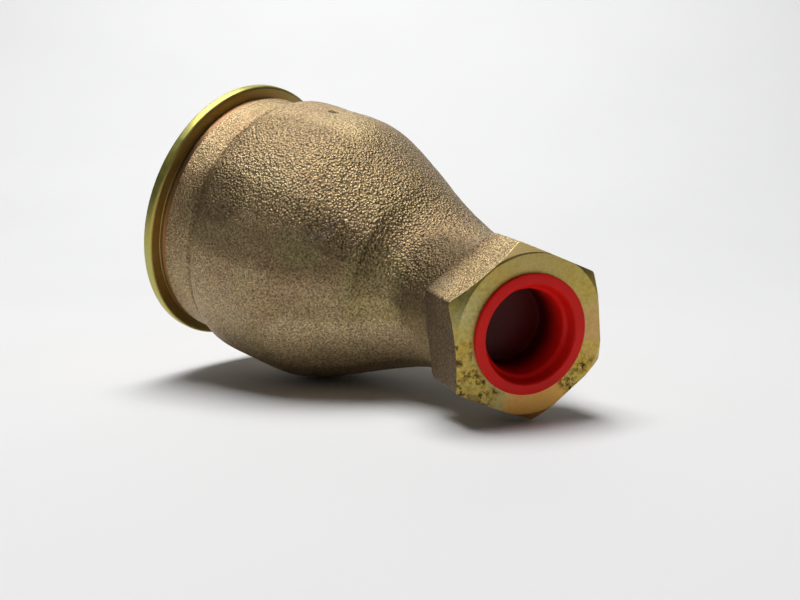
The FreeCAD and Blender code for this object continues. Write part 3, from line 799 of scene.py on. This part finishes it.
def mesh_vectors(layer, field):
    """One vector per vertex, as rows."""
    values = np.empty(3 * len(layer))
    layer.foreach_get(field, values)
    return values.reshape(-1, 3)


def keep_flats_cast(piece):
    """The hexagon's flats stay as cast, up to the turned chamfer."""
    mesh = piece.data
    places = mesh_vectors(mesh.attributes["place"].data, "vector")
    port_way = Vector(port_forward)
    for polygon in mesh.polygons:
        station, across, upward = places[polygon.vertices[0]]
        outside = math.hypot(across, upward) > STEM_RADIUS + 0.2
        near_face = PORT_STATION - 1.3 * HEX_CHAMFER < station <= PORT_STATION
        along_body = abs(polygon.normal.dot(port_way)) < 0.3
        if polygon.material_index == TURNED and outside and near_face and along_body:
            polygon.material_index = CAST


def roughen(piece, slot_number):
    """Press the uneven surface of a sand mould into the faces of one slot, inwards only."""
    mesh = piece.data
    cast_only = np.zeros(len(mesh.vertices), bool)
    turned = np.zeros(len(mesh.vertices), bool)
    for polygon in mesh.polygons:
        chosen = cast_only if polygon.material_index == slot_number else turned
        chosen[list(polygon.vertices)] = True
    cast_only &= ~turned
    spots = mesh_vectors(mesh.vertices, "co")
    normals = mesh_vectors(mesh.vertices, "normal")
    places = mesh_vectors(mesh.attributes["place"].data, "vector")
    stations = places[:, 0]
    turns = np.arctan2(places[:, 2], places[:, 1])
    coarseness = 0.5 + 0.5 * np.cos(turns - COARSE_TURN)
    outside = np.hypot(places[:, 1], places[:, 2]) > np.interp(stations, *zip(*BELLY)) - WALL / 2
    calm = np.interp(stations, *zip(*ROUGH_SHARE))
    calm[~outside] = 1.0
    around = BELLY_RADIUS * np.remainder(turns - PIT_TURN + math.pi, FULL_TURN) - BELLY_RADIUS * math.pi
    from_pit = (stations - PIT_STATION) ** 2 + around ** 2
    pits = PIT_DEPTH * np.exp(-from_pit / PIT_RADIUS ** 2) * outside
    for index in np.flatnonzero(cast_only):
        spot = Vector(spots[index] / MM)
        relief = sum(noise.noise(spot / span + Vector(shift)) * (height + extra * coarseness[index])
                     for span, shift, height, extra in WRINKLES) - SKIN_DROP
        spots[index] += normals[index] * (relief * calm[index] - pits[index]) * MM
    spots = np.clip(spots, cad_box[0], cad_box[1])
    mesh.vertices.foreach_set("co", spots.ravel())
    mesh.update()


# Once round the casting's wall: outside from the mouth to the port, then back through the hollow
body_rows = flange_rows() + hexagon_rows() + port_rows() + hollow_rows()
body_piece = sweep("strainer_casting", centre_line, body_rows, BODY_ANGLES)
for name in ("cast_bronze", "turned_bronze"):
    body_piece.data.materials.append(materials[name])
keep_flats_cast(body_piece)
roughen(body_piece, CAST)
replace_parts(body_piece, "strainer_body")
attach(body_piece, "housing")

# ---------------------------------------------------------------- thread protectors


def plug_rows():
    """Lip, step and tapered cup; stations run inwards from the plug's outer face."""
    outline = [(0.0, 11.6), (0.0, 13.9), (1.0, 13.9), (1.0, 12.4), (14.0, 12.0), (14.0, 0.0)]
    inside = [(12.7, 0.0), (12.7, 9.3), (3.2, 9.9), (2.4, 10.7), (0.3, 11.3), (0.0, 11.6)]
    rows = line_rows(outline, 0.9, 0, 0.3)
    return rows + line_rows(inside, 0.9, 0, 0.3)


for name, line in (("outlet_plug", outlet_line), ("inlet_plug", inlet_line)):
    plug = sweep(name + "_moulding", line, plug_rows(), PLUG_ANGLES)
    plug.data.materials.append(materials["red_plastic"])
    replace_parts(plug, name)
    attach(plug, name)

# ---------------------------------------------------------------- cap


def cap_rows():
    """Rows once round the cap's section: hub, disc, screw thread, seal groove, pocket and port."""
    hub = hexagon(HUB_CORNER, PLUG_ANGLES)
    rows = []
    for part in np.linspace(0, 1, 5)[:-1]:
        rows.append((0.0, PORT_MOUTH_RADIUS * (1 - part) + HUB_FACE_RADIUS * part, 0))
    for part in np.linspace(0, 1, 6):
        limit = HUB_FACE_RADIUS + (HUB_CORNER + 0.1 - HUB_FACE_RADIUS) * part
        rows.append((HUB_CHAMFER * part, np.minimum(hub, limit), 0))
    for station in (2.6, 3.8, 4.9, CAP_FACE):
        rows.append((station, hub, 0))
    for part in (0.35, 0.7):
        rows.append((CAP_FACE, hub * (1 - part) + (CAP_RADIUS - CAP_EDGE) * part, 0))
    rows += line_rows([(CAP_FACE, CAP_RADIUS - CAP_EDGE), (CAP_FACE + CAP_EDGE, CAP_RADIUS)], 0.5, 0)
    rows += thread(CAP_FACE + CAP_EDGE, CAP_GROOVE_START, CAP_RADIUS, -CAP_THREAD_DEPTH, MOUTH_PITCH, 0,
                   PLUG_ANGLES)
    rows += line_rows([(CAP_GROOVE_START, CAP_RADIUS), (CAP_GROOVE_START, CAP_GROOVE_RADIUS),
                       (CAP_GROOVE_END, CAP_GROOVE_RADIUS), (CAP_GROOVE_END, CAP_RADIUS),
                       (CAP_END, CAP_RADIUS), (CAP_END, POCKET_OUTER), (POCKET_FLOOR, POCKET_OUTER),
                       (POCKET_FLOOR, POCKET_INNER), (CAP_END, POCKET_INNER), (CAP_END, PORT_RADIUS),
                       (CAP_END - 0.6, PORT_RADIUS)], 1.5, 0, 0.2)
    rows += thread(0.8, CAP_END - 0.7, PORT_RADIUS, CAP_PORT_THREAD_DEPTH, PORT_PITCH, 0,
                   PLUG_ANGLES)[::-1]
    rows += line_rows([(0.7, PORT_RADIUS), (0.0, PORT_MOUTH_RADIUS)], 0.5, 0)
    return rows


cap_piece = sweep("cap_turning", cap_line, cap_rows(), PLUG_ANGLES)
cap_piece.data.materials.append(materials["turned_brass"])
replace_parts(cap_piece, "cap")
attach(cap_piece, "cap")

# ---------------------------------------------------------------- wire cloth


def wires(name, runs, radius):
    """Round wires along many runs; each run is (points, whether it closes on itself), in metres."""
    sides = 5
    around = np.arange(sides) * FULL_TURN / sides
    points = []
    faces = []
    for track, closed in runs:
        ahead = np.roll(track, -1, axis=0) - np.roll(track, 1, axis=0)
        if not closed:
            ahead[0] = track[1] - track[0]
            ahead[-1] = track[-1] - track[-2]
        ahead /= np.linalg.norm(ahead, axis=1)[:, None]
        first = np.cross(ahead, (0.31, 0.52, 0.80))
        first /= np.linalg.norm(first, axis=1)[:, None]
        second = np.cross(ahead, first)
        start = len(points)
        rings = track[:, None] + radius * (np.cos(around)[None, :, None] * first[:, None]
                                           + np.sin(around)[None, :, None] * second[:, None])
        points += [tuple(point) for point in rings.reshape(-1, 3)]
        count = len(track)
        for ring in range(count if closed else count - 1):
            after = (ring + 1) % count
            for side in range(sides):
                beside = (side + 1) % sides
                faces.append((start + ring * sides + side, start + ring * sides + beside,
                              start + after * sides + beside, start + after * sides + side))
        if not closed:
            faces.append(tuple(start + side for side in reversed(range(sides))))
            faces.append(tuple(start + (count - 1) * sides + side for side in range(sides)))
    piece = new_piece(name, points, faces)
    piece.data.shade_smooth()
    piece.data.materials.append(materials["stainless"])
    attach(piece, "basket")
    return piece


def around_axis(stations, radii, turns):
    """Points about the flange axis, in metres."""
    centre, forward, sideways = centre_line(0)
    other = np.cross(forward, sideways)
    return centre + MM * (np.multiply.outer(stations, forward)
                          + np.multiply.outer(radii * np.cos(turns), sideways)
                          + np.multiply.outer(radii * np.sin(turns), other))


def sleeve_runs():
    """Wire cloth rolled into a tube: straight wires and hoops that pass over and under each other."""
    runs = []
    hoops = int((MESH_END - MESH_START) / WIRE_PITCH)
    stations = MESH_START + WIRE_PITCH * (0.5 + np.arange(hoops))
    along = np.linspace(stations[0] - 0.4, stations[-1] + 0.4, 2 * hoops)
    for wire in range(SLEEVE_WIRES):
        weave = WIRE_WAVE * np.cos(math.pi * ((along - stations[0]) / WIRE_PITCH + wire))
        turns = np.full(len(along), wire * FULL_TURN / SLEEVE_WIRES)
        runs.append((around_axis(along, SLEEVE_RADIUS + weave, turns), False))
    turns = np.arange(2 * SLEEVE_WIRES) * FULL_TURN / (2 * SLEEVE_WIRES)
    for hoop, station in enumerate(stations):
        weave = -WIRE_WAVE * np.cos(turns * SLEEVE_WIRES / 2 + math.pi * hoop)
        runs.append((around_axis(np.full(len(turns), station), SLEEVE_RADIUS + weave, turns), True))
    return runs


def disc_runs():
    """Wire cloth cut to a disc, at the basket's far end."""
    centre, forward, sideways = centre_line(0)
    other = np.cross(forward, sideways)
    runs = []
    half_count = int(MESH_DISC_RADIUS / WIRE_PITCH)
    for first, second, phase in ((sideways, other, 0), (other, sideways, 1)):
        for wire in range(-half_count, half_count + 1):
            offset = wire * WIRE_PITCH
            reach = math.sqrt(MESH_DISC_RADIUS ** 2 - offset ** 2) - 0.2
            if reach < WIRE_PITCH:
                continue
            along = np.arange(-reach, reach, WIRE_PITCH / 2)
            weave = WIRE_WAVE * np.cos(math.pi * (along / WIRE_PITCH + wire + phase))
            track = centre + MM * (np.multiply.outer(MESH_DISC_STATION + weave, forward)
                                   + np.multiply.outer(along, first) + offset * second)
            runs.append((track, False))
    return runs


for name, runs in (("mesh_sleeve", sleeve_runs()), ("mesh_disc", disc_runs())):
    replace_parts(wires(name + "_wires", runs, WIRE_RADIUS * MM), name)

# ---------------------------------------------------------------- CAD nodes that keep their shape

NODE_MATERIALS = {
    "black_rubber": ("cap_o_ring", "flange_o_ring"),
    "red_fibre": ("slip_washer", "seat_gasket"),
    "stainless": ("basket_wall", "basket_base", "basket_rim", "foot_hoop", "basket_seam",
                  "mesh_hoops", "bail", "bail_ears")}
for material_name, names in NODE_MATERIALS.items():
    for name in names:
        data = frame["nodes"][name].data
        data.materials.clear()
        data.materials.append(materials[material_name])

# ---------------------------------------------------------------- studio

# The camera's place, aim and upright on the strainer's axes: into the body, along the bend, and
# square to both
CAMERA_OFFSET = (203.4, 246.5, -21.0)
CAMERA_AIM = (-0.5005, -0.8605, 0.0956)
CAMERA_UPRIGHT = (-0.3305, 0.0879, -0.9397)
FOCAL_LENGTH = 49.5
SENSOR_WIDTH = 36.0
# The paper sweep, in metres: how far it comes forward, and where, how and how far it curves up
SWEEP_FRONT = -1.5
SWEEP_START = 0.12
SWEEP_RADIUS = 1.3
SWEEP_TURN = math.radians(80)
SWEEP_STEPS = 32
SWEEP_HALF_WIDTH = 2.5


def on_body_axes(amounts):
    return into_body * amounts[0] + bend_way * amounts[1] + bend_normal * amounts[2]


camera_forward = on_body_axes(CAMERA_AIM).normalized()
camera_up = on_body_axes(CAMERA_UPRIGHT)
camera_up = (camera_up - camera_forward * camera_up.dot(camera_forward)).normalized()
back_way = Vector((camera_forward.x, camera_forward.y, 0)).normalized()
right_way = Vector((camera_forward.y, -camera_forward.x, 0)).normalized()


def studio_floor():
    """A seamless sweep: a flat floor that curves up gently behind the strainer."""
    profile = [(SWEEP_FRONT, 0.0), (SWEEP_START, 0.0)]
    for step in range(1, SWEEP_STEPS + 1):
        turn = step / SWEEP_STEPS * SWEEP_TURN
        rise = SWEEP_RADIUS * (1 - math.cos(turn))
        profile.append((SWEEP_START + SWEEP_RADIUS * math.sin(turn), rise))
    points = []
    for back, height in profile:
        for side in (-SWEEP_HALF_WIDTH, SWEEP_HALF_WIDTH):
            points.append(back_way * back + right_way * side + Vector((0, 0, height)))
    faces = [(2 * row, 2 * row + 1, 2 * row + 3, 2 * row + 2) for row in range(len(profile) - 1)]
    floor = new_piece("sweep", points, faces)
    material, tree, shader = new_material("paper")
    fibre = noise_at(tree, 6.0, detail=4.0)
    link(tree, ramp(tree, fibre, (0.3, 0.655), (0.7, 0.675)), shader.inputs["Base Color"])
    shader.inputs["Roughness"].default_value = 0.75
    floor.data.materials.append(material)
    floor.data.shade_smooth()


def add_camera():
    data = bpy.data.cameras.new("camera")
    data.lens = FOCAL_LENGTH
    data.sensor_width = SENSOR_WIDTH
    data.clip_start = 0.01
    camera = bpy.data.objects.new("camera", data)
    bpy.context.scene.collection.objects.link(camera)
    turn = Matrix((camera_forward.cross(camera_up), camera_up, -camera_forward)).transposed()
    place = flange_centre + on_body_axes(CAMERA_OFFSET) * MM
    camera.matrix_world = Matrix.Translation(place) @ turn.to_4x4()
    bpy.context.scene.camera = camera


def add_area(name, place, target, size, power):
    data = bpy.data.lights.new(name, "AREA")
    data.shape = "RECTANGLE"
    data.size, data.size_y = size
    data.energy = power
    lamp = bpy.data.objects.new(name, data)
    bpy.context.scene.collection.objects.link(lamp)
    turn = (Vector(target) - place).normalized().to_track_quat("-Z", "Y")
    lamp.matrix_world = Matrix.Translation(place) @ turn.to_matrix().to_4x4()


def add_light():
    world = bpy.data.worlds.new("studio")
    world.use_nodes = True
    background = world.node_tree.nodes["Background"]
    background.inputs["Color"].default_value = (0.94, 0.96, 1.0, 1)
    background.inputs["Strength"].default_value = 0.07
    bpy.context.scene.world = world
    above = Vector((0, 0, 1.1)) + back_way * 0.12 - right_way * 0.12
    add_area("overhead", above, (0, 0, 0), (0.75, 0.55), 16.5)
    behind = Vector((0, 0, 1.0)) + back_way * 0.65
    add_area("backdrop", behind, behind + back_way * 1.0 - Vector((0, 0, 0.45)), (1.5, 0.5), 6.5)


add_camera()
studio_floor()
add_light()
bpy.context.scene.view_settings.view_transform = "Standard"
